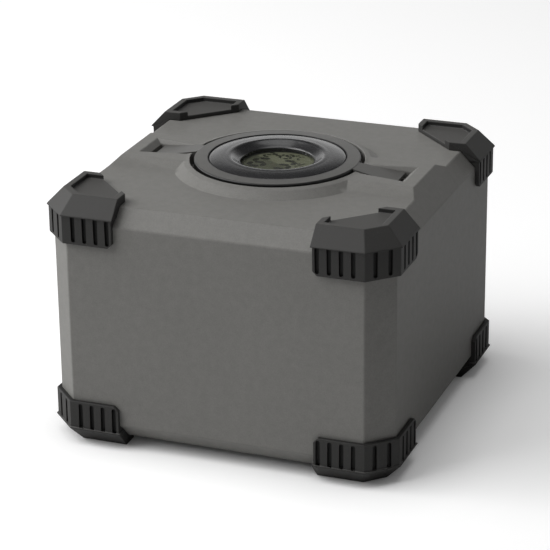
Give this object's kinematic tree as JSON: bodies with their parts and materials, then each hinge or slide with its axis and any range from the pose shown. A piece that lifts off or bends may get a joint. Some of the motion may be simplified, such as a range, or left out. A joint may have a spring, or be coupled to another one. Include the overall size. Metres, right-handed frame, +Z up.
{
  "type": "hearing aid dryer",
  "caption": "Square drying box with rubber corner bumpers and a round winged lid carrying a hygrometer, over a sealed chamber with a basket and desiccant canister.",
  "frame": {"origin": "under the middle of the body, on the plane of the bumpers' feet that the object stands on", "axes": "+Z up, +X to the right along the lid's wings, -Y toward the front"},
  "size_m": [0.122, 0.122, 0.0882],
  "materials": {
    "body_plastic": "matt warm grey with a very fine mottled texture",
    "lid_plastic": "matt warm grey with a very fine mottled texture",
    "base_plastic": "matt warm grey",
    "screw_steel": "plated",
    "cup_plastic": "satin off-white",
    "seal_rubber": "smooth black",
    "bumper_rubber": "matt charcoal",
    "bezel_gloss": "polished dark grey",
    "window_clear": "clear",
    "lcd_face": null,
    "meter_plastic": "satin black",
    "board_green": "coated board",
    "sensor_white": "matt",
    "cell_steel": "bright",
    "basket_plastic": "satin white",
    "canister_plastic": "satin white",
    "desiccant": "orange beads",
    "filter_paper": "white non-woven"
  },
  "bodies": {
    "base": {"body_shell": "body_plastic", "base_plate": "base_plastic", "base_screws": "screw_steel", "cup_seat": "base_plastic", "chamber_cup": "cup_plastic", "chamber_gasket": "seal_rubber", "bumper_top_front_right": "bumper_rubber", "bumper_top_front_left": "bumper_rubber", "bumper_top_back_left": "bumper_rubber", "bumper_top_back_right": "bumper_rubber", "bumper_bottom_front_right": "bumper_rubber", "bumper_bottom_front_left": "bumper_rubber", "bumper_bottom_back_left": "bumper_rubber", "bumper_bottom_back_right": "bumper_rubber"},
    "lid": {"lid_ring": "lid_plastic", "lid_seal": "seal_rubber"},
    "hygrometer": {"hygrometer_bezel": "bezel_gloss", "display_window": "window_clear", "lcd_panel": "lcd_face", "hygrometer_housing": "meter_plastic", "circuit_board": "board_green", "humidity_sensor": "sensor_white", "button_cell_left": "cell_steel", "button_cell_right": "cell_steel"},
    "battery_door": {"battery_cover": "meter_plastic"},
    "basket": {"hearing_aid_basket": "basket_plastic", "basket_floor": "basket_plastic", "basket_divider": "basket_plastic"},
    "canister": {"canister_tub": "canister_plastic", "desiccant_beads": "desiccant", "filter_disc": "filter_paper", "canister_cover": "canister_plastic"}
  },
  "joints": [
    {"name": "lid_lift", "type": "slide", "parent": "base", "child": "lid", "axis": [0, 0, 1], "range_m": [0, 0.16]},
    {"name": "basket_lift", "type": "slide", "parent": "base", "child": "basket", "axis": [0, 0, 1], "range_m": [0, 0.104]},
    {"name": "canister_lift", "type": "slide", "parent": "base", "child": "canister", "axis": [0, 0, 1], "range_m": [0, 0.0768]},
    {"name": "hygrometer_lift", "type": "slide", "parent": "lid", "child": "hygrometer", "axis": [0, 0, 1], "range_m": [0, 0.03]},
    {"name": "battery_cover_off", "type": "slide", "parent": "hygrometer", "child": "battery_door", "axis": [0, 0, -1], "range_m": [0, 0.012]}
  ],
  "couplings": [
    {"joint": "basket_lift", "follows": "lid_lift", "ratio": 0.65},
    {"joint": "canister_lift", "follows": "lid_lift", "ratio": 0.48},
    {"joint": "battery_cover_off", "follows": "hygrometer_lift", "ratio": 0.4}
  ]
}
